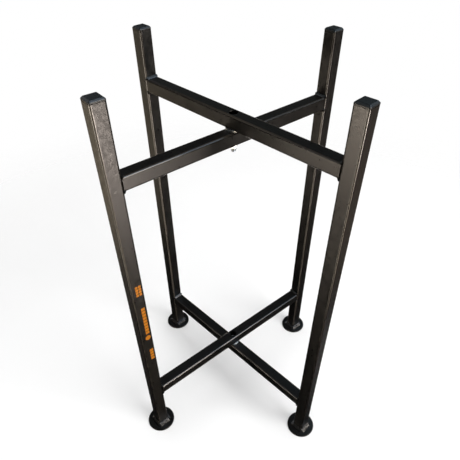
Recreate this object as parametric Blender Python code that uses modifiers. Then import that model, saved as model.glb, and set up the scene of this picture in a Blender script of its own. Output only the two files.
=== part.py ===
"""Folding cross stand for a gas ring burner.

Two ladder frames of square steel tube cross in the middle.  Each has two legs, an upper rail and a
lower rail.  At both crossings one rail lies over the other and an M8 bolt joins them, and the two
bolts stand on one upright axis, so the frames swing round it and the stand folds flat.  The burner
sits on the upper rails between the tops of the four legs.

Units are metres, +Z is up, and the origin is on the floor, on the pivot axis.  Frame A runs from the
back left leg to the front right one, frame B from the front left to the back right.
"""

import math

import bmesh
import bpy
from mathutils import Matrix

MM = 0.001

# Frame: square tube, legs and rails of one section
TUBE = 25.4 * MM
TUBE_WALL = 1.6 * MM
TUBE_CORNER = 3.0 * MM
LEG_LENGTH = 820.0 * MM
RAIL_LENGTH = 441.0 * MM
LEG_RISE = 85.0 * MM              # legs above the top of the higher upper rail
LOWER_RAIL_HEIGHT = 149.0 * MM    # floor to the top of the higher lower rail
RAIL_SPACING = 5.0 * MM           # between the two rails of a crossing
OPEN_ANGLE = math.radians(84.5)   # between the frames, looking from either side

# Feet: a round plate welded under each leg
FOOT_DIAMETER = 63.0 * MM
FOOT_THICKNESS = 4.0 * MM
FOOT_EDGE = 0.8 * MM

# Plastic plugs in the tops of the legs
CAP_THICKNESS = 5.0 * MM
CAP_CHAMFER = 2.6 * MM
CAP_CORNER = 2.2 * MM
PLUG_DEPTH = 14.0 * MM
PLUG_WALL = 2.0 * MM
PLUG_CORNER = 1.5 * MM

# Pivot hardware, the same at both crossings
BOLT_DIAMETER = 8.0 * MM
BOLT_HEAD_RIM = 2.5 * MM          # head beyond the shank, all round
BOLT_HEAD_HEIGHT = 8.0 * MM
BOLT_SOCKET_FLATS = 6.0 * MM
BOLT_SOCKET_DEPTH = 4.0 * MM
BOLT_END = 5.6 * MM               # thread showing below the nut
BOLT_CHAMFER = 0.8 * MM
WASHER_RIM = 3.5 * MM             # washer beyond the shank, all round
WASHER_THICKNESS = 1.6 * MM
SPACER_DIAMETER = 28.0 * MM
NUT_RIM = 2.5 * MM                # flats of the nut beyond the shank
NUT_HEX_HEIGHT = 6.0 * MM
NUT_COLLAR_HEIGHT = 2.0 * MM
NUT_CHAMFER_ANGLE = math.radians(30.0)
INSERT_WALL = 0.9 * MM
INSERT_HEIGHT = 2.0 * MM
COLLAR_WALL = 0.8 * MM
ACCESS_CLEARANCE = 0.5 * MM       # access hole beyond the washer that is dropped through it

GAP = 0.3 * MM                    # between pieces that touch or are welded
ROUND_STEPS = 32
FOOT_STEPS = 48
OVERSHOOT = 2.0 * MM              # how far a cutter runs past what it cuts

# Worked-out sizes
LEG_RADIUS = RAIL_LENGTH / 2 + GAP + TUBE / 2
LEG_BOTTOM = FOOT_THICKNESS + GAP
LEG_TOP = LEG_BOTTOM + LEG_LENGTH
UPPER_RAIL_HEIGHT = LEG_TOP - LEG_RISE
BOLT_RADIUS = BOLT_DIAMETER / 2
BORE_RADIUS = BOLT_RADIUS + GAP
HEAD_RADIUS = BOLT_RADIUS + BOLT_HEAD_RIM
WASHER_RADIUS = BOLT_RADIUS + WASHER_RIM
ACCESS_RADIUS = max(HEAD_RADIUS, WASHER_RADIUS) + ACCESS_CLEARANCE
INSERT_RADIUS = BORE_RADIUS + INSERT_WALL
COLLAR_RADIUS = INSERT_RADIUS + GAP + COLLAR_WALL
NUT_FLAT_RADIUS = max(BOLT_RADIUS + NUT_RIM, COLLAR_RADIUS)
NUT_HEIGHT = NUT_HEX_HEIGHT + NUT_COLLAR_HEIGHT
STACK_BELOW_LOWER_RAIL = WASHER_THICKNESS + NUT_HEIGHT + 2 * GAP
BOLT_LENGTH = (WASHER_THICKNESS + 2 * GAP + TUBE_WALL + RAIL_SPACING + TUBE
               + STACK_BELOW_LOWER_RAIL + BOLT_END)


def clear_scene():
    """Remove every object of the open file."""
    for obj in list(bpy.data.objects):
        bpy.data.objects.remove(obj, do_unlink=True)


def new_collection(name):
    """A collection linked to the scene."""
    collection = bpy.data.collections.new(name)
    bpy.context.scene.collection.children.link(collection)
    return collection


def new_material(name, colour, roughness, metallic):
    """A Principled BSDF material in one finish."""
    material = bpy.data.materials.new(name)
    material.use_nodes = True
    shader = material.node_tree.nodes["Principled BSDF"]
    shader.inputs["Base Color"].default_value = (*colour, 1.0)
    shader.inputs["Roughness"].default_value = roughness
    shader.inputs["Metallic"].default_value = metallic
    material.diffuse_color = (*colour, 1.0)
    return material


def add_object(name, bm, collection, parent=None, location=(0, 0, 0), material=None):
    """Turn a bmesh into a named object, placed under its parent."""
    bmesh.ops.recalc_face_normals(bm, faces=bm.faces)
    mesh = bpy.data.meshes.new(name)
    bm.to_mesh(mesh)
    bm.free()
    obj = bpy.data.objects.new(name, mesh)
    collection.objects.link(obj)
    obj.parent = parent
    obj.location = location
    if material is not None:
        mesh.materials.append(material)
    return obj


def add_empty(name, collection, angle):
    """An empty on the pivot axis, turned to its frame's direction."""
    empty = bpy.data.objects.new(name, None)
    collection.objects.link(empty)
    empty.rotation_euler = (0, 0, angle)
    return empty


def cut(obj, cutter, operation="DIFFERENCE"):
    """Boolean between an object and a hidden cutter."""
    cutter.hide_render = True
    cutter.display_type = "WIRE"
    modifier = obj.modifiers.new(cutter.name, "BOOLEAN")
    modifier.operation = operation
    modifier.object = cutter
    modifier.solver = "EXACT"


def box_mesh(size_x, size_y, size_z):
    """A box about the origin."""
    bm = bmesh.new()
    scale = Matrix.Diagonal((size_x, size_y, size_z, 1.0))
    bmesh.ops.create_cube(bm, size=1.0, matrix=scale)
    return bm


def cylinder_mesh(radius, height, segments=ROUND_STEPS, turn=0.0):
    """A cylinder or prism about the origin, along Z."""
    bm = bmesh.new()
    bmesh.ops.create_cone(
        bm, cap_ends=True, segments=segments, radius1=radius, radius2=radius, depth=height,
        matrix=Matrix.Rotation(turn, 4, "Z"))
    return bm


def add_turned(name, profile, closed, collection, parent, location, material=None):
    """A profile in the XZ plane turned round Z; it runs down its outer side."""
    bm = bmesh.new()
    verts = [bm.verts.new((radius, 0.0, height)) for radius, height in profile]
    for first, second in zip(verts, verts[1:]):
        bm.edges.new((first, second))
    if closed:
        bm.edges.new((verts[-1], verts[0]))
    obj = add_object(name, bm, collection, parent, location, material)
    screw = obj.modifiers.new("turn", "SCREW")
    screw.steps = ROUND_STEPS
    screw.render_steps = ROUND_STEPS
    screw.use_merge_vertices = True
    screw.merge_threshold = 0.00001
    screw.use_smooth_shade = True
    return obj


def ring_profile(inner, outer, bottom, top):
    """The section of a flat ring."""
    return [(outer, top), (outer, bottom), (inner, bottom), (inner, top)]


def add_square_tube(name, length, along_x, collection, parent, location, material):
    """A square tube with rounded corners, open at both ends, centred on its location."""
    bm = box_mesh(TUBE, TUBE, length)
    long_edges = [edge for edge in bm.edges
                  if abs(edge.verts[0].co.z - edge.verts[1].co.z) > length / 2]
    bmesh.ops.bevel(bm, geom=long_edges, offset=TUBE_CORNER, segments=3, profile=0.5,
                    affect="EDGES")
    ends = [face for face in bm.faces if abs(face.normal.z) > 0.9]
    bmesh.ops.delete(bm, geom=ends, context="FACES_ONLY")
    if along_x:
        bmesh.ops.transform(bm, matrix=Matrix.Rotation(math.pi / 2, 4, "Y"), verts=bm.verts)
    obj = add_object(name, bm, collection, parent, location, material)
    wall = obj.modifiers.new("wall", "SOLIDIFY")
    wall.thickness = TUBE_WALL
    wall.offset = -1.0
    wall.use_even_offset = True
    return obj


def drill_rail(rail, holes, cutters):
    """Drill upright holes through a rail: each is (radius, centre's height over the axis, depth)."""
    for number, (radius, height, depth) in enumerate(holes):
        bm = cylinder_mesh(radius, depth)
        location = (0, 0, rail.location.z + height)
        drill = add_object(f"{rail.name}_drill_{number}", bm, cutters, rail.parent, location)
        cut(rail, drill)


def add_foot(name, collection, parent, x, material):
    """A round plate with a rounded rim, on the floor."""
    bm = cylinder_mesh(FOOT_DIAMETER / 2, FOOT_THICKNESS, FOOT_STEPS)
    obj = add_object(name, bm, collection, parent, (x, 0, FOOT_THICKNESS / 2), material)
    rim = obj.modifiers.new("rim", "BEVEL")
    rim.width = FOOT_EDGE
    rim.segments = 2
    rim.limit_method = "ANGLE"
    rim.angle_limit = math.radians(60.0)
    obj.data.shade_smooth()
    obj.data.set_sharp_from_angle(angle=math.radians(40.0))
    return obj


def add_end_cap(name, collection, cutters, parent, x, material):
    """A square plug: a chamfered flange on the tube's end, joined to a hollow stem inside the tube."""
    bm = box_mesh(TUBE, TUBE, CAP_THICKNESS)
    top = [edge for edge in bm.edges if min(vert.co.z for vert in edge.verts) > 0]
    bmesh.ops.bevel(bm, geom=top, offset=CAP_CHAMFER, segments=1, profile=0.5, affect="EDGES")
    corners = [edge for edge in bm.edges
               if abs(edge.verts[0].co.z - edge.verts[1].co.z) > CAP_CHAMFER / 2
               and abs(abs(edge.verts[0].co.x) - abs(edge.verts[0].co.y)) < GAP]
    bmesh.ops.bevel(bm, geom=corners, offset=CAP_CORNER, segments=2, profile=0.5, affect="EDGES")
    flange_bottom = LEG_TOP + GAP
    cap = add_object(name, bm, collection, parent, (x, 0, flange_bottom + CAP_THICKNESS / 2), material)

    width = TUBE - 2 * (TUBE_WALL + GAP)
    rise = CAP_THICKNESS / 3
    bm = box_mesh(width, width, PLUG_DEPTH + rise)
    uprights = [edge for edge in bm.edges
                if abs(edge.verts[0].co.z - edge.verts[1].co.z) > PLUG_DEPTH / 2]
    bmesh.ops.bevel(bm, geom=uprights, offset=PLUG_CORNER, segments=1, profile=0.5, affect="EDGES")
    underside = min(bm.faces, key=lambda face: face.calc_center_median().z)
    bmesh.ops.inset_region(bm, faces=[underside], thickness=PLUG_WALL, use_even_offset=True)
    moved = bmesh.ops.extrude_face_region(bm, geom=[underside])["geom"]
    hollow = [item for item in moved if isinstance(item, bmesh.types.BMVert)]
    bmesh.ops.delete(bm, geom=[underside], context="FACES_ONLY")
    bmesh.ops.translate(bm, vec=(0, 0, PLUG_DEPTH), verts=hollow)
    middle = flange_bottom + (rise - PLUG_DEPTH) / 2
    stem = add_object(f"{name}_stem", bm, cutters, parent, (x, 0, middle))
    cut(cap, stem, "UNION")
    return cap


def add_bolt(name, collection, cutters, parent, seat, material):
    """A socket head cap screw, head up, its head's underside at the seat height."""
    head_top = BOLT_HEAD_HEIGHT
    tip = -BOLT_LENGTH
    profile = [
        (0.0, head_top), (HEAD_RADIUS - BOLT_CHAMFER, head_top),
        (HEAD_RADIUS, head_top - BOLT_CHAMFER), (HEAD_RADIUS, 0.0), (BOLT_RADIUS, 0.0),
        (BOLT_RADIUS, tip + BOLT_CHAMFER), (BOLT_RADIUS - BOLT_CHAMFER, tip), (0.0, tip)]
    bolt = add_turned(name, profile, False, collection, parent, (0, 0, seat), material)
    corner = BOLT_SOCKET_FLATS / 2 / math.cos(math.pi / 6)
    depth = BOLT_SOCKET_DEPTH + OVERSHOOT
    middle = seat + head_top - BOLT_SOCKET_DEPTH + depth / 2
    socket = add_object(f"{name}_socket", cylinder_mesh(corner, depth, 6), cutters, parent,
                        (0, 0, middle))
    cut(bolt, socket)
    return bolt


def add_lock_nut(name, collection, cutters, parent, top, material):
    """A hexagon lock nut: chamfered hexagon, a round collar below it, recessed for the insert."""
    corner = NUT_FLAT_RADIUS / math.cos(math.pi / 6)
    place = (0, 0, top)
    bm = cylinder_mesh(corner, NUT_HEX_HEIGHT, 6, math.pi / 6)
    bmesh.ops.translate(bm, vec=(0, 0, -NUT_HEX_HEIGHT / 2), verts=bm.verts)
    nut = add_object(name, bm, collection, parent, place, material)

    barrel_radius = corner + OVERSHOOT
    shoulder = (NUT_FLAT_RADIUS - barrel_radius) * math.tan(NUT_CHAMFER_ANGLE)
    barrel_bottom = -NUT_HEX_HEIGHT - OVERSHOOT
    barrel_profile = [
        (0.0, 0.0), (NUT_FLAT_RADIUS, 0.0), (barrel_radius, shoulder), (barrel_radius, barrel_bottom),
        (0.0, barrel_bottom)]
    barrel = add_turned(f"{name}_barrel", barrel_profile, False, cutters, parent, place)
    cut(nut, barrel, "INTERSECT")

    sink = NUT_HEX_HEIGHT / 3
    collar_profile = [
        (0.0, -NUT_HEX_HEIGHT + sink), (COLLAR_RADIUS, -NUT_HEX_HEIGHT + sink),
        (COLLAR_RADIUS, -NUT_HEIGHT), (0.0, -NUT_HEIGHT)]
    collar = add_turned(f"{name}_collar", collar_profile, False, cutters, parent, place)
    cut(nut, collar, "UNION")

    recess = INSERT_RADIUS + GAP
    recess_top = -NUT_HEIGHT + INSERT_HEIGHT + GAP
    bore_profile = [
        (0.0, OVERSHOOT), (BORE_RADIUS, OVERSHOOT), (BORE_RADIUS, recess_top), (recess, recess_top),
        (recess, -NUT_HEIGHT - OVERSHOOT), (0.0, -NUT_HEIGHT - OVERSHOOT)]
    bore = add_turned(f"{name}_bore", bore_profile, False, cutters, parent, place)
    cut(nut, bore)
    return nut


def add_pivot(name, over_top, collection, cutters, parent, steel, nylon):
    """The bolt, washers, spacer and lock nut of a crossing, whose higher rail has its top at over_top."""
    wall_inside = over_top - TUBE + TUBE_WALL
    over_bottom = over_top - TUBE
    under_bottom = over_bottom - RAIL_SPACING - TUBE

    washer = ring_profile(BORE_RADIUS, WASHER_RADIUS, 0.0, WASHER_THICKNESS)
    spacer = ring_profile(BORE_RADIUS, SPACER_DIAMETER / 2, 0.0, RAIL_SPACING - 2 * GAP)
    insert = ring_profile(BORE_RADIUS, INSERT_RADIUS, 0.0, INSERT_HEIGHT)

    add_turned(f"{name}_head_washer", washer, True, collection, parent,
               (0, 0, wall_inside + GAP), steel)
    seat = wall_inside + WASHER_THICKNESS + 2 * GAP
    add_bolt(f"{name}_bolt", collection, cutters, parent, seat, steel)
    add_turned(f"{name}_spacer", spacer, True, collection, parent,
               (0, 0, over_bottom - RAIL_SPACING + GAP), steel)
    add_turned(f"{name}_nut_washer", washer, True, collection, parent,
               (0, 0, under_bottom - GAP - WASHER_THICKNESS), steel)
    nut_top = under_bottom - WASHER_THICKNESS - 2 * GAP
    add_lock_nut(f"{name}_lock_nut", collection, cutters, parent, nut_top, steel)
    add_turned(f"{name}_nut_insert", insert, True, collection, parent,
               (0, 0, nut_top - NUT_HEIGHT), nylon)


def add_frame(letter, sides, upper_over, collection, cutters, parent, paint, plastic):
    """One ladder frame along its own X axis: legs, feet and end caps at its two sides, and its rails.

    The rail that lies over at a crossing is open above the bolt's head; both its walls are drilled.
    """
    for side, x in zip(sides, (-LEG_RADIUS, LEG_RADIUS)):
        middle = LEG_BOTTOM + LEG_LENGTH / 2
        add_square_tube(f"leg_{side}", LEG_LENGTH, False, collection, parent, (x, 0, middle), paint)
        add_foot(f"foot_{side}", collection, parent, x, paint)
        add_end_cap(f"end_cap_{side}", collection, cutters, parent, x, plastic)

    under_drop = TUBE + RAIL_SPACING
    levels = (("upper", UPPER_RAIL_HEIGHT, upper_over), ("lower", LOWER_RAIL_HEIGHT, not upper_over))
    for level, over_top, is_over in levels:
        top = over_top if is_over else over_top - under_drop
        rail = add_square_tube(f"{level}_rail_{letter}", RAIL_LENGTH, True, collection, parent,
                               (0, 0, top - TUBE / 2), paint)
        wall_middle = (TUBE - TUBE_WALL) / 2
        hole_depth = TUBE_WALL + 2 * OVERSHOOT
        upper_radius = ACCESS_RADIUS if is_over else BORE_RADIUS
        holes = ((upper_radius, wall_middle, hole_depth), (BORE_RADIUS, -wall_middle, hole_depth))
        drill_rail(rail, holes, cutters)


def build():
    """The whole stand, opened for use."""
    clear_scene()
    stand = new_collection("burner_stand")
    cutters = new_collection("cutters")

    paint = new_material("powder_coated_steel", (0.022, 0.021, 0.020), 0.42, 0.0)
    plastic = new_material("black_polyethylene", (0.016, 0.017, 0.020), 0.50, 0.0)
    steel = new_material("zinc_plated_steel", (0.62, 0.62, 0.60), 0.32, 1.0)
    nylon = new_material("nylon", (0.70, 0.72, 0.70), 0.45, 0.0)

    frame_a = add_empty("frame_a_pivot", stand, -OPEN_ANGLE / 2)
    frame_b = add_empty("frame_b_pivot", stand, OPEN_ANGLE / 2)
    add_frame("a", ("back_left", "front_right"), True, stand, cutters, frame_a, paint, plastic)
    add_frame("b", ("front_left", "back_right"), False, stand, cutters, frame_b, paint, plastic)
    add_pivot("upper_pivot", UPPER_RAIL_HEIGHT, stand, cutters, frame_a, steel, nylon)
    add_pivot("lower_pivot", LOWER_RAIL_HEIGHT, stand, cutters, frame_a, steel, nylon)


build()
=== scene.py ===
"""The look of a folding burner stand: black powder-coated square tube, welded ladder frames, zinc bolts.

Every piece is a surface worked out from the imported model's own boxes, in metres and in its frame.
"""

import math

import bmesh
import bpy
import numpy as np
from mathutils import Matrix, Vector


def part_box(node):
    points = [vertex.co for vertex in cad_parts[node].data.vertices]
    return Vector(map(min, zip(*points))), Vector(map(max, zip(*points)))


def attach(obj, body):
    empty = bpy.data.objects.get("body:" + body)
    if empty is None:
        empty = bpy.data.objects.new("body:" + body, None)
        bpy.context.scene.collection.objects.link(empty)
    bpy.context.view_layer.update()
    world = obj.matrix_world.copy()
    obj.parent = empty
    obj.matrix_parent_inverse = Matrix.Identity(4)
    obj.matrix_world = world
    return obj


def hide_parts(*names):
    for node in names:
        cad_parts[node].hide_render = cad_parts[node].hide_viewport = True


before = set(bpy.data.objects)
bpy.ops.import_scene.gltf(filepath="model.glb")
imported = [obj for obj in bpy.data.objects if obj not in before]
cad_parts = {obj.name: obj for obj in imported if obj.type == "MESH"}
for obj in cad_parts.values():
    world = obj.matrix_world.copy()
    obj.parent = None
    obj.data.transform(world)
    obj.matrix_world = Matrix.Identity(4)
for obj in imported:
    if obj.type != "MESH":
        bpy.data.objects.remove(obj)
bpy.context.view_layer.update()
MM = 0.001

# ---------------------------------------------------------------- sizes, read from the frame

def box(node):
    """A node's lowest and highest corner as one array of two rows."""
    return np.array(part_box(node), dtype=float)


def middle(node):
    """The middle of a node's box."""
    return box(node).mean(axis=0)


FOOT_RADIUS = np.ptp(box("foot_front_left")[:, 0]) / 2
FOOT_TOP = box("foot_front_left")[1, 2]
LEG_BOTTOM, LEG_TOP = box("leg_front_left")[:, 2]
LEG_RADIUS = math.hypot(*middle("leg_front_left")[:2])
TUBE = np.ptp(box("upper_rail_a")[:, 2])
HALF = TUBE / 2
ANGLE_A = math.atan2(*middle("leg_front_right")[1::-1])
ANGLE_B = math.atan2(*middle("leg_back_right")[1::-1])
GAP = 0.3 * MM
CAP_BOTTOM = LEG_TOP + GAP
CAP_TOP = box("end_cap_front_left")[1, 2]
WALL = 1.6 * MM
CORNER = 3.0 * MM
RAIL_HALF_LENGTH = LEG_RADIUS - HALF - GAP
THREAD_PITCH = 1.25 * MM
BORE_RADIUS = 4.3 * MM
ACCESS_RADIUS = 8.0 * MM
LIP = 0.5 * MM               # rolled edge of a drilled hole
CORNER_STEPS = 8
FLAT_STEPS = 8
FLAT_EDGE = 0.35 * MM        # the first and last step of a flat, which hold its shading flat

RAIL_WELD = 4.0 * MM         # how far a bead reaches from its root
FOOT_WELD = 6.4 * MM
WELD_STEP = 0.35 * MM
WELD_SIDES = 32
WELD_FULLNESS = 1.1          # 1 is a flat face at 45 degrees, 2 a round bead
RIPPLE = 0.035
RIPPLE_PITCH = 1.7 * MM
RIPPLE_BEND = 0.35
UPWARDS = np.array([0.0, 0.0, 1.0])
ALONG_RAIL = np.array([1.0, 0.0, 0.0])

FOOT_EDGE = 0.8 * MM
CAP_SLOPE = 2.6 * MM
PLUG_DEPTH = 14 * MM
PLUG_WALL = 2 * MM
BOLT_RADIUS = 4 * MM
BOLT_HEAD_HEIGHT = 8 * MM
BOLT_EDGE = 0.8 * MM
SOCKET_FLAT = 3 * MM         # half of the socket's width over its flats
SOCKET_DEPTH = 4 * MM
PLAIN_SHANK = 20 * MM
NUT_FLAT = 6.5 * MM          # half of the nut's width over its flats
NUT_HEX_HEIGHT = 6 * MM
NUT_COLLAR = 6.1 * MM
INSERT_RECESS = 5.5 * MM
CHAMFER_SLOPE = math.tan(math.radians(30))
RING_EDGE = 0.15 * MM
RING_STEPS = 72
FOOT_STEPS = 96
BOLT_STEPS = 48
NUT_STEPS = 96
THREAD_DEPTH = 0.68 * MM

# ---------------------------------------------------------------- meshes from grids


def turn_about_z(points, angle):
    """Turn points about the upright axis: x and y mix by the angle's cosine and sine."""
    cosine, sine = math.cos(angle), math.sin(angle)
    spin = np.array([[cosine, sine, 0.0], [-sine, cosine, 0.0], [0.0, 0.0, 1.0]])
    return points @ spin


def grid_faces(rows, columns, wrap_rows, wrap_columns, start):
    """Quads between neighbouring rows and columns of a grid; a wrapped direction meets its own start."""
    row = np.arange(rows if wrap_rows else rows - 1)
    column = np.arange(columns if wrap_columns else columns - 1)
    i, j = (axis.ravel() for axis in np.meshgrid(row, column, indexing="ij"))
    next_i, next_j = (i + 1) % rows, (j + 1) % columns
    quads = np.stack([i * columns + j, i * columns + next_j, next_i * columns + next_j,
                      next_i * columns + j], axis=1)
    return (quads + start).tolist()


class Shell:
    """Grids and end faces gathered into one closed mesh; where two grids meet their points merge.

    Every point has a rim value, 1 on a tube's rounded corners and 0 elsewhere, for the coat to read.
    """

    def __init__(self):
        self.points, self.faces, self.rims, self.count = [], [], [], 0

    def grid(self, points, wrap_rows=False, wrap_columns=False, rim=0.0):
        """Add a grid of points, an array of rows by columns by three."""
        rows, columns = points.shape[:2]
        self.faces += grid_faces(rows, columns, wrap_rows, wrap_columns, self.count)
        self.points.append(points.reshape(-1, 3))
        self.rims.append(np.broadcast_to(rim, (rows, columns)).ravel())
        self.count += rows * columns
        return self

    def lid(self, ring):
        """Close a ring of points with one flat face."""
        self.faces.append(list(range(self.count, self.count + len(ring))))
        self.points.append(ring)
        self.rims.append(np.zeros(len(ring)))
        self.count += len(ring)
        return self

    def piece(self, name, material, body, nodes=(), slot=None, sharp=35.0, angle=0.0, shift=(0, 0, 0)):
        """Make the object: merge, face outwards, shade, and tell the frame what it rides on."""
        points = turn_about_z(np.concatenate(self.points), angle) + np.array(shift, dtype=float)
        mesh = bpy.data.meshes.new(name)
        mesh.from_pydata(points, [], self.faces)
        rim = mesh.attributes.new("rim", "FLOAT", "POINT")
        rim.data.foreach_set("value", np.concatenate(self.rims).astype(np.float32))
        bm = bmesh.new()
        bm.from_mesh(mesh)
        bmesh.ops.remove_doubles(bm, verts=bm.verts, dist=2e-6)
        bmesh.ops.dissolve_degenerate(bm, edges=bm.edges, dist=1e-7)
        bmesh.ops.recalc_face_normals(bm, faces=bm.faces)
        bm.to_mesh(mesh)
        bm.free()
        mesh.shade_smooth()
        mesh.set_sharp_from_angle(angle=math.radians(sharp))
        mesh.materials.append(material)
        obj = bpy.data.objects.new(name, mesh)
        bpy.context.scene.collection.objects.link(obj)
        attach(obj, body)
        if nodes:
            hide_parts(*nodes)
        return obj


def flat_steps(reach):
    """Stations over a flat from -reach to reach, with one close to each end to hold the shading flat."""
    inner = np.linspace(-reach + FLAT_EDGE, reach - FLAT_EDGE, FLAT_STEPS)
    return np.concatenate([[-reach], inner, [reach]])


def arc(start, stop, count):
    """Cosine and sine of evenly spaced angles from start to stop in degrees."""
    turn = np.radians(np.linspace(start, stop, count))
    return np.stack([np.cos(turn), np.sin(turn)], axis=1)


def rounded_square(half, radius):
    """A square outline of half width half: four flats joined by four quarter circles of the radius."""
    reach = half - radius
    flat = flat_steps(reach)
    side = np.stack([np.full(len(flat), half), flat], axis=1)
    corner = np.array([reach, reach]) + radius * arc(0, 90, CORNER_STEPS + 1)
    quarter = np.concatenate([side[:-1], corner[:-1]])
    quarter_turn = np.array([[0, 1], [-1, 0]])
    return np.concatenate([quarter @ np.linalg.matrix_power(quarter_turn, count) for count in range(4)])


def outline_rim():
    """The rim value round a rounded square's outline: 1 on its four corners, 0 on the flats between."""
    flat = len(flat_steps(HALF)) - 1
    side = np.concatenate([[1], np.zeros(flat - 1), np.ones(CORNER_STEPS)])
    return np.tile(side, 4)


def stacked_squares(halves, radii, heights):
    """Rows of rounded squares: each row has its own half width, corner radius and height."""
    rows = [rounded_square(half, radius) for half, radius in zip(halves, radii)]
    outline = np.stack(rows)
    level = np.broadcast_to(np.asarray(heights)[:, None, None], outline.shape[:2] + (1,))
    return np.concatenate([outline, level], axis=2)


def turned(radii, heights, steps):
    """Rows turned round Z: x and y are the radius times the cosine and sine of the turn, z the height.

    A row's radius is one number, or one for every step of the turn.
    """
    turn = np.linspace(0, 2 * np.pi, steps, endpoint=False)
    radius = np.broadcast_to(np.asarray(radii, dtype=float).reshape(len(radii), -1), (len(radii), steps))
    height = np.broadcast_to(np.asarray(heights, dtype=float).reshape(len(radii), -1), (len(radii), steps))
    return np.stack([radius * np.cos(turn), radius * np.sin(turn), height], axis=2)


def swept_bead(path, reach, closed):
    """A weld bead: an almost square profile set on its corner, run along a path, its face at 45 degrees.

    The profile's radius is (|cos t| ** p + |sin t| ** p) ** (-1 / p), t being the turn round it and p the
    fullness.  It swells by 1 + ripple cos(2 pi (s / pitch + bend cos t)), s being the way along the path,
    so the swells bend like scales.  An open bead's ends draw in to a point by a quarter circle.
    """
    steps = np.roll(path, -1, axis=0) - path
    if not closed:
        steps[-1] = steps[-2]
    length = np.linalg.norm(steps, axis=1)
    along = np.concatenate([[0], np.cumsum(length)[:-1]])
    behind = np.roll(steps, 1, axis=0)
    if not closed:
        behind[0] = steps[0]
    tangent = steps / length[:, None] + behind / np.linalg.norm(behind, axis=1)[:, None]
    tangent /= np.linalg.norm(tangent, axis=1)[:, None]
    guide = UPWARDS if closed else ALONG_RAIL
    side = np.cross(tangent, guide)
    side /= np.linalg.norm(side, axis=1)[:, None]
    other = np.cross(tangent, side)
    turn = np.linspace(0, 2 * np.pi, WELD_SIDES, endpoint=False)
    whole = along[-1] + length[-1]
    pitch = whole / round(whole / RIPPLE_PITCH)
    swell = 1 + RIPPLE * np.cos(2 * np.pi * (along[:, None] / pitch + RIPPLE_BEND * np.cos(turn)[None]))
    if not closed:
        ends = np.minimum(along, along[-1] - along) / reach
        taper = np.sqrt(1 - (1 - np.clip(ends, 0, 1)) ** 2)
        swell = swell * np.maximum(taper, 0.02)[:, None]
    square = np.abs(np.cos(turn)) ** WELD_FULLNESS + np.abs(np.sin(turn)) ** WELD_FULLNESS
    profile = square ** (-1 / WELD_FULLNESS)
    ring = side[:, None] * np.cos(turn)[None, :, None] + other[:, None] * np.sin(turn)[None, :, None]
    return path[:, None] + reach * (swell * profile)[..., None] * ring


# ---------------------------------------------------------------- materials


def linear(code):
    """An sRGB hex colour as linear red, green, blue and alpha."""
    parts = [int(code[k:k + 2], 16) / 255 for k in (1, 3, 5)]
    return tuple(p / 12.92 if p <= 0.04045 else ((p + 0.055) / 1.055) ** 2.4 for p in parts) + (1.0,)


def node(tree, kind, inputs=None, output=0, **settings):
    """Add a node and give back one of its outputs; each input gets a value or another node's output."""
    made = tree.nodes.new(kind)
    for name, value in settings.items():
        setattr(made, name, value)
    for name, value in (inputs or {}).items():
        if isinstance(value, bpy.types.NodeSocket):
            tree.links.new(value, made.inputs[name])
        else:
            made.inputs[name].default_value = value
    return made.outputs[output]


def new_material(name, roughness, metallic=0.0):
    """A material with its Principled shader, and the object coordinates that its patterns read."""
    material = bpy.data.materials.new(name)
    material.use_nodes = True
    tree = material.node_tree
    shader = tree.nodes["Principled BSDF"]
    shader.inputs["Roughness"].default_value = roughness
    shader.inputs["Metallic"].default_value = metallic
    return material, tree, shader, node(tree, "ShaderNodeTexCoord", output="Object")


# The light corner tone below is a painted edge highlight: it lightens the coat's colour on the tube's
# rounded corners.
PAINTED_EDGE_HIGHLIGHT = "#3a352f"
PAINTED_HIGHLIGHT_SHARE = 0.5             # how far the coat's colour goes over to the painted edge highlight on a corner
RIM_ROUGHNESS = 0.13
PEEL_STRENGTH = 0.5


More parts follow.
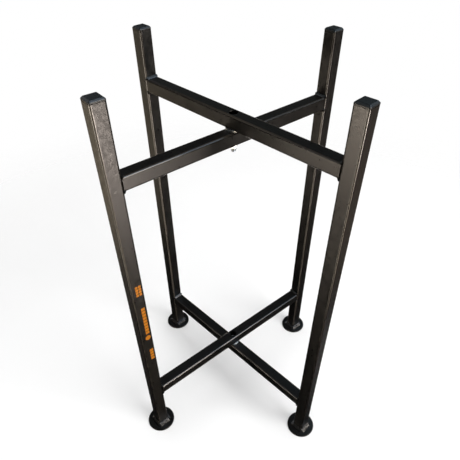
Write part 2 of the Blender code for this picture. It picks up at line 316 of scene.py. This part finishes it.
def powder_coat(name, low, high, gloss, peel_depth):
    """Powder-coated steel: satin black polyester, baked, so it flows into a fine orange peel.

    The eye gets a soft, slightly grainy sheen.  The peel's lumps are about 1.5 mm, drawn at 2.4 mm so that
    they show; a mottle of 7 mm and a slow cloud of 45 mm shift the gloss as film thickness does.  On the
    tube's rounded corners the film is thinner, so they are smoother, with no peel; their lighter shade is a
    painted edge highlight.
    """
    material, tree, shader, place = new_material(name, gloss[0])
    cloud = node(tree, "ShaderNodeTexNoise", {"Vector": place, "Scale": 1 / (45 * MM), "Detail": 3.0})
    mottle = node(tree, "ShaderNodeTexNoise", {"Vector": place, "Scale": 1 / (7 * MM), "Detail": 3.0,
                                               "Roughness": 0.6})
    peel = node(tree, "ShaderNodeTexNoise", {"Vector": place, "Scale": 1 / (2.4 * MM), "Detail": 2.0})
    rim = node(tree, "ShaderNodeAttribute", output="Fac", attribute_name="rim")
    film = node(tree, "ShaderNodeMix", {"Factor": cloud, "A": linear(low), "B": linear(high)},
                "Result", data_type="RGBA")
    # Painted edge highlight: where the rim value is 1 the colour goes part way to the light corner tone.
    painted_highlight_mix = node(tree, "ShaderNodeMath", {0: rim, 1: PAINTED_HIGHLIGHT_SHARE}, operation="MULTIPLY")
    colour = node(tree, "ShaderNodeMix", {"Factor": painted_highlight_mix, "A": film, "B": linear(PAINTED_EDGE_HIGHLIGHT)},
                  "Result", data_type="RGBA")
    sheen = node(tree, "ShaderNodeMapRange", {"Value": mottle, "From Min": 0.3, "From Max": 0.7,
                                              "To Min": gloss[0], "To Max": gloss[1]})
    smooth = node(tree, "ShaderNodeMix", {"Factor": rim, "A": sheen, "B": RIM_ROUGHNESS}, data_type="FLOAT")
    flat = node(tree, "ShaderNodeMath", {0: 1.0, 1: rim}, operation="SUBTRACT", use_clamp=True)
    swing = node(tree, "ShaderNodeMath", {0: flat, 1: PEEL_STRENGTH}, operation="MULTIPLY")
    waves = node(tree, "ShaderNodeBump", {"Height": mottle, "Distance": 0.5 * peel_depth,
                                          "Strength": swing})
    grain = node(tree, "ShaderNodeBump", {"Height": peel, "Distance": peel_depth, "Strength": swing,
                                          "Normal": waves})
    tree.links.new(colour, shader.inputs["Base Color"])
    tree.links.new(smooth, shader.inputs["Roughness"])
    tree.links.new(grain, shader.inputs["Normal"])
    return material


def moulded_polyethylene():
    """Low-density polyethylene, injection moulded: waxy blue-black, with a spark-eroded grain of 0.8 mm."""
    material, tree, shader, place = new_material("black_polyethylene", 0.42)
    grain = node(tree, "ShaderNodeTexNoise", {"Vector": place, "Scale": 1 / (0.8 * MM), "Detail": 2.0})
    colour = node(tree, "ShaderNodeMix", {"Factor": grain, "A": linear("#06090b"), "B": linear("#0d1114")},
                  "Result", data_type="RGBA")
    sheen = node(tree, "ShaderNodeMapRange", {"Value": grain, "From Min": 0.3, "From Max": 0.7,
                                              "To Min": 0.36, "To Max": 0.5})
    relief = node(tree, "ShaderNodeBump", {"Height": grain, "Distance": 0.05 * MM, "Strength": 0.3})
    tree.links.new(colour, shader.inputs["Base Color"])
    tree.links.new(sheen, shader.inputs["Roughness"])
    tree.links.new(relief, shader.inputs["Normal"])
    return material


def zinc_plate():
    """Zinc-plated steel, clear passivated: bright grey with a faint blue and straw cloud, 6 mm across.

    Barrel plating leaves it a little frosted, with marks about 0.7 mm across.
    """
    material, tree, shader, place = new_material("zinc_plated_steel", 0.3, 1.0)
    cloud = node(tree, "ShaderNodeTexNoise", {"Vector": place, "Scale": 1 / (6 * MM), "Detail": 3.0})
    frost = node(tree, "ShaderNodeTexNoise", {"Vector": place, "Scale": 1 / (0.7 * MM), "Detail": 2.0})
    colour = node(tree, "ShaderNodeMix", {"Factor": cloud, "A": linear("#b4bcc2"), "B": linear("#cdd0cf")},
                  "Result", data_type="RGBA")
    sheen = node(tree, "ShaderNodeMapRange", {"Value": frost, "From Min": 0.3, "From Max": 0.7,
                                              "To Min": 0.3, "To Max": 0.46})
    relief = node(tree, "ShaderNodeBump", {"Height": frost, "Distance": 0.03 * MM, "Strength": 0.3})
    tree.links.new(colour, shader.inputs["Base Color"])
    tree.links.new(sheen, shader.inputs["Roughness"])
    tree.links.new(relief, shader.inputs["Normal"])
    return material


def natural_nylon():
    """Natural nylon, moulded: milky white, waxy and slightly see-through, with a soft 3 mm cloud."""
    material, tree, shader, place = new_material("nylon", 0.45)
    cloud = node(tree, "ShaderNodeTexNoise", {"Vector": place, "Scale": 1 / (3 * MM), "Detail": 2.0})
    colour = node(tree, "ShaderNodeMix", {"Factor": cloud, "A": linear("#d5d8d3"), "B": linear("#e6e6e0")},
                  "Result", data_type="RGBA")
    tree.links.new(colour, shader.inputs["Base Color"])
    shader.inputs["Subsurface Weight"].default_value = 0.15
    shader.inputs["Subsurface Scale"].default_value = 0.5 * MM
    return material


def orange_ink():
    """Screen-printed ink: flat orange, with small pinholes where the coat's peel stands through it."""
    material, tree, shader, place = new_material("orange_print", 0.45)
    holes = node(tree, "ShaderNodeTexNoise", {"Vector": place, "Scale": 1 / (1.1 * MM), "Detail": 2.0})
    cover = node(tree, "ShaderNodeMapRange", {"Value": holes, "From Min": 0.3, "From Max": 0.42})
    colour = node(tree, "ShaderNodeMix", {"Factor": cover, "A": linear("#a85a1c"), "B": linear("#ff9a20")},
                  "Result", data_type="RGBA")
    peel = node(tree, "ShaderNodeTexNoise", {"Vector": place, "Scale": 1 / (2.4 * MM), "Detail": 2.0})
    relief = node(tree, "ShaderNodeBump", {"Height": peel, "Distance": 0.1 * MM, "Strength": 0.3})
    tree.links.new(colour, shader.inputs["Base Color"])
    tree.links.new(relief, shader.inputs["Normal"])
    return material


COAT = powder_coat("powder_coated_steel", "#060505", "#090807", (0.27, 0.41), 0.2 * MM)
WELD_COAT = powder_coat("powder_coated_weld", "#070707", "#0a0a0b", (0.20, 0.28), 0.04 * MM)
CAP_PLASTIC = moulded_polyethylene()
ZINC = zinc_plate()
NYLON = natural_nylon()
INK = orange_ink()
STEEL_SLOT = "powder_coated_steel"
ZINC_SLOT = "zinc_plated_steel"

# ---------------------------------------------------------------- tubes


def leg(side, body, angle, x):
    """A leg: the rounded square section run straight up, outer skin, inner skin and two rims."""
    heights = np.linspace(LEG_BOTTOM, LEG_TOP, 2)
    ones = np.ones(2)
    outer = stacked_squares(HALF * ones, CORNER * ones, heights)
    inner = stacked_squares((HALF - WALL) * ones, (CORNER - WALL) * ones, heights)
    shell = Shell().grid(outer, wrap_columns=True, rim=outline_rim()).grid(inner, wrap_columns=True)
    for row in range(2):
        shell.grid(np.stack([outer[row], inner[row]]), wrap_columns=True)
    shift = turn_about_z(np.array([[x, 0, 0]]), angle)[0]
    return shell.piece(f"{side}_leg_tube", COAT, body, (f"leg_{side}",), STEEL_SLOT,
                       angle=angle, shift=shift)


def holed_flat(hole):
    """The flat of a tube round a drilled hole: rings pass from the square rim to the circle in even shares.

    It runs from the outer skin's rim over the hole's rolled lip and down its wall to the inner skin's rim.
    """
    def rim(half, radius):
        reach = half - radius
        steps = flat_steps(reach)
        low, high = np.full(len(steps) - 1, -reach), np.full(len(steps) - 1, reach)
        loop = np.concatenate([
            np.stack([steps[:-1], low], axis=1), np.stack([high, steps[:-1]], axis=1),
            np.stack([steps[:0:-1], high], axis=1), np.stack([low, steps[:0:-1]], axis=1)])
        return loop, half

    outer, top = rim(HALF, CORNER)
    inner, under = rim(HALF - WALL, CORNER - WALL)
    turn = np.radians(np.linspace(-135, 225, len(outer), endpoint=False))
    circle = np.stack([np.cos(turn), np.sin(turn)], axis=1)
    rows = [(outer, top), (outer / 2 + circle * (hole + LIP) / 2, top), (circle * (hole + LIP), top),
            (circle * (hole + 0.3 * LIP), top - 0.3 * LIP), (circle * hole, top - LIP),
            (circle * hole, under), (inner / 2 + circle * hole / 2, under), (inner, under)]
    return np.stack([np.column_stack([flat, np.full(len(flat), level)]) for flat, level in rows])


def rail(name, node_name, body, angle, hole_above):
    """A rail: the rounded square section run along X, with a hole in its upper and lower flat.

    The outline starts on the upper flat.  Strips of the section run the whole length, and each holed flat
    is two plain ends with the holed patch between them.
    """
    shell = Shell()
    skins = []
    corners = outline_rim()
    for half, radius, rim in ((HALF, CORNER, corners), (HALF - WALL, CORNER - WALL, 0 * corners)):
        reach = half - radius
        stations = np.concatenate([[-RAIL_HALF_LENGTH], flat_steps(reach), [RAIL_HALF_LENGTH]])
        outline = rounded_square(half, radius)
        ring = np.column_stack([outline[:, 1], outline[:, 0]])
        skin = np.empty((len(stations), len(ring), 3))
        skin[..., 0] = stations[:, None]
        skin[..., 1:] = ring
        skins.append(skin)
        quarter, flat = len(ring) // 4, len(flat_steps(reach)) - 1
        for start in (0, 2 * quarter):
            level = np.arange(start, start + flat + 1)
            shell.grid(skin[:2, level], rim=rim[level])
            shell.grid(skin[-2:, level], rim=rim[level])
            columns = np.arange(start + flat, start + 2 * quarter + 1) % len(ring)
            shell.grid(skin[:, columns], rim=rim[columns])
    for end in (0, -1):
        shell.grid(np.stack([skins[0][end], skins[1][end]]), wrap_columns=True)
    upper = holed_flat(hole_above)
    lower = holed_flat(BORE_RADIUS) * np.array([1, -1, -1])
    shell.grid(upper, wrap_columns=True).grid(lower, wrap_columns=True)
    shift = (0, 0, middle(node_name)[2])
    return shell.piece(name, COAT, body, (node_name,), STEEL_SLOT, angle=angle, shift=shift)


# ---------------------------------------------------------------- welds


def resample(path, step):
    """Points every step along a path."""
    gaps = np.linalg.norm(np.diff(path, axis=0), axis=1)
    along = np.concatenate([[0], np.cumsum(gaps)])
    count = max(int(round(along[-1] / step)), 4)
    places = np.linspace(0, along[-1], count + 1)
    return np.stack([np.interp(places, along, path[:, axis]) for axis in range(3)], axis=1)


def rail_welds(name, node_name, body, angle):
    """The fillets over and under a rail at both legs: beads across each flat and down into its corners."""
    outline = rounded_square(HALF, CORNER)
    quarter = len(outline) // 4
    flat = len(flat_steps(HALF)) - 1
    corner = quarter - flat
    across = np.arange(-corner + 1, flat + corner)
    span = outline[across % len(outline)]
    shell = Shell()
    for end in (-1, 1):
        for up in (-1, 1):
            x = np.full(len(span), end * (LEG_RADIUS - HALF))
            path = resample(np.column_stack([x, span[:, 1], up * span[:, 0]]), WELD_STEP)
            bead = swept_bead(path, RAIL_WELD, False)
            shell.grid(bead, wrap_columns=True).lid(bead[0]).lid(bead[-1])
    shift = (0, 0, middle(node_name)[2])
    return shell.piece(name, WELD_COAT, body, (), STEEL_SLOT, 50.0, angle, shift)


def foot_weld(side, body, angle, x):
    """The bead round a leg's base, on the foot plate: a closed loop on the leg's rounded square outline.

    Its root is cut flat halfway down the plate's thickness.
    """
    outline = rounded_square(HALF, CORNER)
    loop = np.column_stack([outline, np.full(len(outline), FOOT_TOP)])
    path = resample(np.concatenate([loop, loop[:1]]), WELD_STEP)[:-1]
    bead = swept_bead(path, FOOT_WELD, True)
    bead[..., 2] = np.maximum(bead[..., 2], FOOT_TOP / 2)
    shell = Shell().grid(bead, wrap_rows=True, wrap_columns=True)
    shift = turn_about_z(np.array([[x, 0, 0]]), angle)[0]
    return shell.piece(f"{side}_foot_weld", WELD_COAT, body, (), STEEL_SLOT, 50.0, angle, shift)


# ---------------------------------------------------------------- feet and end caps


def foot(side, body, angle, x):
    """A foot plate: a profile turned round its middle, flat below, with rounded rims."""
    rim, edge = FOOT_RADIUS, FOOT_EDGE
    low = np.array([rim - edge, edge]) + edge * arc(-90, 0, 5)
    high = np.array([rim - edge, FOOT_TOP - edge]) + edge * arc(0, 90, 5)
    profile = np.concatenate([[[rim / 5, 0]], low, high, [[HALF, FOOT_TOP], [rim / 5, FOOT_TOP]]])
    rows = turned(profile[:, 0], profile[:, 1], FOOT_STEPS)
    shell = Shell().grid(rows, wrap_columns=True).lid(rows[0]).lid(rows[-1])
    shift = turn_about_z(np.array([[x, 0, 0]]), angle)[0]
    return shell.piece(f"{side}_foot_plate", COAT, body, (f"foot_{side}",), STEEL_SLOT, 40.0, angle, shift)


def end_cap(side, body, angle, x):
    """A square plug: rounded squares stacked from the crown down the chamfer to the ribbed stem."""
    slope = CAP_SLOPE
    stem = HALF - WALL - GAP
    rows = [(2 * MM, 0.8 * MM, CAP_TOP), (HALF - slope - 1.2 * MM, 1.2 * MM, CAP_TOP),
            (HALF - slope - 0.3 * MM, 1.3 * MM, CAP_TOP - 0.03 * MM),
            (HALF - slope, 1.4 * MM, CAP_TOP - 0.13 * MM),
            (HALF - slope + 0.3 * MM, 1.5 * MM, CAP_TOP - 0.37 * MM),
            (HALF - 0.5 * MM, 2.5 * MM, CAP_TOP - 2.15 * MM),
            (HALF - 0.16 * MM, 2.6 * MM, CAP_TOP - 2.6 * MM),
            (HALF, 2.7 * MM, CAP_TOP - 3.1 * MM), (HALF, 2.7 * MM, CAP_BOTTOM + 0.3 * MM),
            (HALF - 0.3 * MM, 2.5 * MM, CAP_BOTTOM), (stem, 1.3 * MM, CAP_BOTTOM)]
    for rib in range(3):
        level = CAP_BOTTOM - (2 + 4 * rib) * MM
        rows += [(stem, 1.3 * MM, level), (stem + 0.2 * MM, 1.4 * MM, level - 0.4 * MM),
                 (stem + 0.2 * MM, 1.4 * MM, level - 0.9 * MM), (stem, 1.3 * MM, level - 1.9 * MM)]
    bottom, hollow = CAP_BOTTOM - PLUG_DEPTH, stem - PLUG_WALL
    rows += [(stem - 0.4 * MM, 1.2 * MM, bottom), (hollow, 0.6 * MM, bottom),
             (hollow, 0.6 * MM, CAP_BOTTOM - 0.5 * MM), (2 * MM, 0.6 * MM, CAP_BOTTOM - 0.5 * MM)]
    stack = stacked_squares(*zip(*rows))
    shell = Shell().grid(stack, wrap_columns=True).lid(stack[0]).lid(stack[-1])
    shift = turn_about_z(np.array([[x, 0, 0]]), angle)[0]
    return shell.piece(f"{side}_plug", CAP_PLASTIC, body, (f"end_cap_{side}",), "black_polyethylene",
                       28.0, angle, shift)


# ---------------------------------------------------------------- pivot hardware


def hexagon(flat, steps):
    """A hexagon's radius at each step of a turn: its flat radius over the cosine from the nearest flat."""
    turn = np.degrees(np.linspace(0, 2 * np.pi, steps, endpoint=False))
    off = (turn + 30.0) % 60.0 - 30.0
    return flat / np.cos(np.radians(off))


def ring_piece(name, node_name, body, material, slot):
    """A washer, spacer or insert: a rectangle with its corners taken off, turned round the pivot."""
    low, high = box(node_name)
    outer = np.ptp(box(node_name)[:, 0]) / 2
    inner, bottom, top, edge = BORE_RADIUS, low[2], high[2], RING_EDGE
    rows = np.array([
        (outer - edge, top), (outer, top - edge), (outer, bottom + edge), (outer - edge, bottom),
        (inner + edge, bottom), (inner, bottom + edge), (inner, top - edge), (inner + edge, top)])
    shell = Shell().grid(turned(rows[:, 0], rows[:, 1], RING_STEPS), wrap_rows=True, wrap_columns=True)
    return shell.piece(name, material, body, (node_name,), slot, 60.0)


def bolt(name, node_name, body):
    """A socket head cap screw turned in rows: hexagon socket, head, shank and a helical thread.

    The thread's radius is a flat-topped wave of z / pitch + turn / (2 pi).
    """
    steps = BOLT_STEPS
    low, high = box(node_name)
    head = np.ptp(box(node_name)[:, 0]) / 2
    shank, edge = BOLT_RADIUS, BOLT_EDGE
    top, seat, tip = high[2], high[2] - BOLT_HEAD_HEIGHT, low[2]
    socket = hexagon(SOCKET_FLAT, steps)
    plain = np.ones(steps)
    rows = [(0.3 * socket, top - SOCKET_DEPTH - 0.6 * MM), (socket, top - SOCKET_DEPTH),
            (socket, top - 0.3 * MM),
            (socket + 0.3 * MM, top), (plain * (head - edge), top),
            (plain * (head - edge / 4), top - edge / 3),
            (plain * head, top - edge), (plain * head, seat + edge / 3), (plain * (head - edge / 3), seat),
            (plain * shank, seat)]
    start = seat - PLAIN_SHANK
    levels = np.arange(start, tip + edge, -THREAD_PITCH / 8)
    turn = np.linspace(0, 1, steps, endpoint=False)
    wave = np.abs(((levels[:, None] / THREAD_PITCH + turn) % 1.0) * 2 - 1)
    depth = THREAD_DEPTH * np.clip(1.25 * wave - 0.12, 0, 1)
    fade = np.clip((start - levels) / THREAD_PITCH, 0, 1)[:, None]
    end = np.clip((levels - tip - edge) / THREAD_PITCH + 0.3, 0, 1)[:, None]
    thread = shank - 0.03 * MM - depth * fade * end
    radii = np.concatenate([np.stack([row[0] * plain for row in rows]), plain[None] * shank, thread,
                            plain[None] * (shank - 0.75 * MM), plain[None] * 1 * MM])
    heights = np.concatenate([[row[1] for row in rows], [start + 0.2 * MM], levels, [tip, tip]])
    grid = turned(radii, heights, steps)
    shell = Shell().grid(grid, wrap_columns=True).lid(grid[0]).lid(grid[-1])
    return shell.piece(name, ZINC, body, (node_name,), ZINC_SLOT, 40.0)


def lock_nut(name, node_name, body):
    """A lock nut turned in rows: each radius is the lesser of the hexagon and the chamfer's cone.

    Below the hexagon a round collar narrows over the nylon insert.
    """
    steps = NUT_STEPS
    low, high = box(node_name)
    top, bottom = high[2], low[2]
    flat = NUT_FLAT
    wide = hexagon(flat, steps)
    plain = np.ones(steps)
    rows = [(plain * BORE_RADIUS, top - 0.5 * MM), (plain * (BORE_RADIUS + 0.5 * MM), top)]
    for depth in np.linspace(0, 0.7 * MM, 8):
        rows.append((np.minimum(wide, flat - 0.15 * MM + depth / CHAMFER_SLOPE), top - depth))
    shoulder = top - NUT_HEX_HEIGHT
    for depth in np.linspace(0.6 * MM, 0, 5):
        cone = flat - 0.3 * MM + depth / CHAMFER_SLOPE
        rows.append((np.minimum(wide, cone), shoulder + depth))
    collar = NUT_COLLAR
    rows += [(plain * collar, shoulder - 0.05 * MM), (plain * collar, bottom + 0.9 * MM),
             (plain * (collar - 0.25 * MM), bottom + 0.35 * MM), (plain * (collar - 0.6 * MM), bottom),
             (plain * INSERT_RECESS, bottom), (plain * INSERT_RECESS, bottom + 2.3 * MM),
             (plain * BORE_RADIUS, bottom + 2.3 * MM)]
    radii = np.stack([row[0] for row in rows])
    grid = turned(radii, [row[1] for row in rows], steps)
    shell = Shell().grid(grid, wrap_rows=True, wrap_columns=True)
    return shell.piece(name, ZINC, body, (node_name,), ZINC_SLOT, 30.0)


def pivot(level):
    """Everything on one crossing's bolt."""
    node_name = f"{level}_pivot"
    bolt(f"{level}_cap_screw", f"{node_name}_bolt", "frame_a")
    lock_nut(f"{level}_nut", f"{node_name}_lock_nut", "frame_a")
    for part in ("head_washer", "nut_washer", "spacer"):
        ring_piece(f"{level}_{part}", f"{node_name}_{part}", "frame_a", ZINC, ZINC_SLOT)
    ring_piece(f"{level}_insert", f"{node_name}_nut_insert", "frame_a", NYLON, "nylon")


# ---------------------------------------------------------------- printed marks

# Each column's middle from the leg's, width, lowest and highest edge, blocks and the gap between, in mm
BLOCK_GROUPS = (
    (5.6, 5.1, 462.7, 488.3, 4, 0.8),
    (-0.6, 5.1, 462.7, 488.3, 4, 0.8),
    (3.9, 7.8, 352.8, 428.9, 9, 1.2),
    (4.5, 7.8, 268.2, 302.4, 4, 1.0))
BLOCK_CORNER = 1.2 * MM
BLOCK_POINTS = 28
INK_BACK, INK_FRONT = 0.04 * MM, 0.10 * MM
DISC_ACROSS, DISC_UP = 2.8 * MM, 340.9 * MM
DISC_WIDTH, DISC_HEIGHT = 11.4 * MM, 12.4 * MM
DISC_CORNER = 5.6 * MM


def block(shell, across, up, width, height, radius):
    """A thin slab on the leg's front face: a rounded rectangle, its outline run through the ink's depth.

    The outline is a circle's points, each pushed out by half the rectangle that is left inside the radius.
    """
    turn = np.radians(np.linspace(0, 360, BLOCK_POINTS, endpoint=False) + 180 / BLOCK_POINTS)
    circle = np.stack([np.cos(turn), np.sin(turn)])
    straight = np.array([[width / 2 - radius], [height / 2 - radius]])
    outline = circle * radius + np.sign(circle) * straight
    rows = []
    for out in (INK_BACK, INK_FRONT):
        x, z = outline[0] + across, outline[1] + up
        rows.append(np.column_stack([x, np.full(len(x), -HALF - out), z]))
    shell.grid(np.stack(rows), wrap_columns=True).lid(rows[0]).lid(rows[1])


def printed_marks():
    """Plain orange blocks in three groups down the front left leg, a disc at the foot of the long one."""
    shell = Shell()
    left = -LEG_RADIUS
    for across, width, low, high, count, gap in BLOCK_GROUPS:
        pitch = (high - low + gap) / count
        for number in range(count):
            up = low + pitch * number + (pitch - gap) / 2
            block(shell, left + across * MM, up * MM, width * MM, (pitch - gap) * MM, BLOCK_CORNER)
    block(shell, left + DISC_ACROSS, DISC_UP, DISC_WIDTH, DISC_HEIGHT, DISC_CORNER)
    return shell.piece("orange_blocks", INK, "frame_b", (), "orange_print", angle=ANGLE_B)


# ---------------------------------------------------------------- the stand

SIDES = (("back_left", "frame_a", ANGLE_A, -LEG_RADIUS), ("front_right", "frame_a", ANGLE_A, LEG_RADIUS),
         ("front_left", "frame_b", ANGLE_B, -LEG_RADIUS), ("back_right", "frame_b", ANGLE_B, LEG_RADIUS))
for side, body, angle, x in SIDES:
    leg(side, body, angle, x)
    foot(side, body, angle, x)
    foot_weld(side, body, angle, x)
    end_cap(side, body, angle, x)

RAILS = (("upper", "a", ANGLE_A, ACCESS_RADIUS), ("lower", "a", ANGLE_A, BORE_RADIUS),
         ("upper", "b", ANGLE_B, BORE_RADIUS), ("lower", "b", ANGLE_B, ACCESS_RADIUS))
for level, letter, angle, hole in RAILS:
    node_name = f"{level}_rail_{letter}"
    rail(f"{level}_rail_tube_{letter}", node_name, f"frame_{letter}", angle, hole)
    rail_welds(f"{level}_rail_welds_{letter}", node_name, f"frame_{letter}", angle)

for level in ("upper", "lower"):
    pivot(level)
printed_marks()

# ---------------------------------------------------------------- floor, light and camera


FADE_START, FADE_END = 0.7, 1.7
FLOOR_REACH = 2.5
FLOOR_LINES = 21
FLOOR_DROP = 0.2 * MM


def floor():
    """A plain pale floor just under the feet: a flat grid that fades out into the white surroundings."""
    material, tree, shader, place = new_material("pale_floor", 0.9)
    shader.inputs["Base Color"].default_value = linear("#f4f4f4")
    shader.inputs["Specular IOR Level"].default_value = 0.0
    reach = node(tree, "ShaderNodeVectorMath", {0: place}, "Value", operation="LENGTH")
    gone = node(tree, "ShaderNodeMapRange", {"Value": reach, "From Min": FADE_START, "From Max": FADE_END},
                interpolation_type="SMOOTHSTEP")
    clear = node(tree, "ShaderNodeBsdfTransparent")
    mixed = node(tree, "ShaderNodeMixShader", {0: gone, 1: shader.outputs[0], 2: clear})
    tree.links.new(mixed, tree.nodes["Material Output"].inputs["Surface"])
    span = np.linspace(-FLOOR_REACH, FLOOR_REACH, FLOOR_LINES)
    x, y = np.meshgrid(span, span, indexing="ij")
    points = np.stack([x, y, np.full_like(x, -FLOOR_DROP)], axis=2)
    mesh = bpy.data.meshes.new("floor")
    faces = grid_faces(FLOOR_LINES, FLOOR_LINES, False, False, 0)
    mesh.from_pydata(points.reshape(-1, 3), [], faces)
    mesh.materials.append(material)
    obj = bpy.data.objects.new("floor", mesh)
    bpy.context.scene.collection.objects.link(obj)
    obj.visible_glossy = False
    obj.visible_diffuse = False


def soft_box(tree, azimuth, elevation, middle, up, half_across, half_tall, colour, power, edge=10.0):
    """A glowing rectangle of the surroundings: 1 inside, with a smooth step to 0 over its soft edge.

    All its measures are in degrees.  Azimuth is measured from the front, to the right.
    """
    share = power
    for angle, centre, half in ((azimuth, middle, half_across), (elevation, up, half_tall)):
        off = node(tree, "ShaderNodeMath", {0: angle, 1: math.radians(centre)}, operation="SUBTRACT")
        wrapped = node(tree, "ShaderNodeMath", {0: off, 1: math.pi, 2: -math.pi}, operation="WRAP")
        apart = node(tree, "ShaderNodeMath", {0: wrapped}, operation="ABSOLUTE")
        inside = node(tree, "ShaderNodeMapRange", {
            "Value": apart, "From Min": math.radians(half + edge / 2),
            "From Max": math.radians(half - edge / 2)}, interpolation_type="SMOOTHSTEP")
        share = node(tree, "ShaderNodeMath", {0: share, 1: inside}, operation="MULTIPLY")
    return node(tree, "ShaderNodeVectorMath", {0: linear(colour)[:3], "Scale": share}, operation="SCALE")


def studio_world():
    """The soft light round the stand, as its coat mirrors it: warm boxes low down, cooler ones higher up.

    The eye sees only plain white beyond the floor.
    """
    world = bpy.data.worlds.new("studio")
    bpy.context.scene.world = world
    world.use_nodes = True
    tree = world.node_tree
    tree.nodes.clear()
    way = node(tree, "ShaderNodeTexCoord", output="Generated")
    x = node(tree, "ShaderNodeSeparateXYZ", {"Vector": way}, "X")
    y = node(tree, "ShaderNodeSeparateXYZ", {"Vector": way}, "Y")
    z = node(tree, "ShaderNodeSeparateXYZ", {"Vector": way}, "Z")
    front = node(tree, "ShaderNodeMath", {0: y, 1: -1.0}, operation="MULTIPLY")
    azimuth = node(tree, "ShaderNodeMath", {0: x, 1: front}, operation="ARCTAN2")
    elevation = node(tree, "ShaderNodeMath", {0: z}, operation="ARCSINE")
    glow = node(tree, "ShaderNodeCombineXYZ", dict(zip("XYZ", linear(SURROUND))))
    for box_sizes in SOFT_BOXES:
        lit = soft_box(tree, azimuth, elevation, *box_sizes)
        glow = node(tree, "ShaderNodeVectorMath", {0: glow, 1: lit}, operation="ADD")
    mirrored = node(tree, "ShaderNodeBackground", {"Color": glow})
    seen = node(tree, "ShaderNodeBackground", {"Color": linear("#ffffff")})
    eye = node(tree, "ShaderNodeLightPath", output="Is Camera Ray")
    mixed = node(tree, "ShaderNodeMixShader", {0: eye, 1: mirrored, 2: seen})
    node_out = tree.nodes.new("ShaderNodeOutputWorld")
    tree.links.new(mixed, node_out.inputs["Surface"])
    world.cycles_visibility.diffuse = False


SURROUND = "#0c0f11"

# Azimuth, elevation, half width and half height in degrees, colour and strength, then the soft edge's width
# where it isn't ten degrees
SOFT_BOXES = (
    (57.4, -24.9, 4.8, 4.7, "#fff0e4", 52.0),
    (-58.0, -19.7, 11.6, 2.8, "#ffeedb", 37.0),
    (134.9, -55.8, 4.8, 4.5, "#fff5f2", 4.5),
    (-109.5, -20.8, 1.8, 16.2, "#ffeccb", 5.4),
    (128.0, -28.8, 22.0, 16.0, "#ffe4cc", 0.3),
    (62.0, 8.0, 9.0, 9.0, "#fff6ea", 16.0),
    (60.0, 28.0, 9.0, 9.0, "#fff8f2", 17.0),
    (60.0, 48.0, 12.0, 10.0, "#f0f6ff", 7.0),
    (60.0, 68.0, 20.0, 10.0, "#f4fbff", 2.0),
    (80.0, 45.0, 10.0, 14.0, "#b8dcff", 6.0),
    (-78.0, 26.0, 14.0, 14.0, "#fff4e4", 0.8),
    (-70.0, 52.0, 14.0, 12.0, "#eefaff", 1.6),
    (135.0, 45.0, 16.0, 14.0, "#d4f0ff", 1.2),
    (135.0, 8.0, 16.0, 16.0, "#f0faff", 1.2),
    (-135.0, 8.0, 16.0, 16.0, "#f8fcff", 1.6),
    (180.0, 60.0, 40.0, 12.0, "#e8f4ff", 0.1),
    (180.0, 10.0, 22.0, 12.0, "#eefaf6", 0.12),
    (36.0, -32.0, 8.0, 14.0, "#ffe8cc", 10.0),
    (-38.0, -30.0, 7.0, 14.0, "#fff0d8", 12.0),
    (0.0, 30.0, 16.0, 20.0, "#ffffff", 0.4),
    (180.0, -36.0, 26.0, 24.0, "#fff8f0", 1.9, 20.0),
    (-131.0, -39.0, 5.2, 22.0, "#ffe8dc", 0.4))


def area_light(name, place, aim, size, power, colour):
    """A square soft box at a place, turned to face another; it lights, and shows in no reflection."""
    data = bpy.data.lights.new(name, "AREA")
    data.shape = "SQUARE"
    data.size = size
    data.energy = power
    data.color = linear(colour)[:3]
    obj = bpy.data.objects.new(name, data)
    bpy.context.scene.collection.objects.link(obj)
    obj.matrix_world = Matrix.Translation(place) @ (
        Vector(aim) - Vector(place)).to_track_quat("-Z", "Y").to_matrix().to_4x4()
    obj.visible_glossy = False


CAMERA_PLACE = (0.02775, -0.69491, 1.05627)
# In radians
CAMERA_HEADING, CAMERA_DIP, CAMERA_ROLL = 0.04965, 0.71925, -0.00509
LENS = 34.587
LENS_SHIFT = 0.0326


def camera():
    """The camera: high in front, turned a little to the left, looking well down."""
    data = bpy.data.cameras.new("camera")
    data.sensor_width = 36.0
    data.lens = LENS
    data.shift_y = LENS_SHIFT
    obj = bpy.data.objects.new("camera", data)
    heading = Matrix.Rotation(CAMERA_HEADING, 4, "Z")
    tilt = Matrix.Rotation(math.pi / 2 - CAMERA_DIP, 4, "X")
    roll = Matrix.Rotation(CAMERA_ROLL, 4, "Z")
    obj.matrix_world = Matrix.Translation(CAMERA_PLACE) @ heading @ tilt @ roll
    bpy.context.scene.collection.objects.link(obj)
    bpy.context.scene.camera = obj


floor()
studio_world()
area_light("overhead", (0, 0, 4.0), (0, 0, 0), 6.0, 255.0, "#ffffff")
area_light("key", (1.9, -1.2, 2.2), (0, 0, 0.2), 1.5, 48.0, "#ffffff")
camera()
bpy.context.scene.view_settings.view_transform = "Standard"
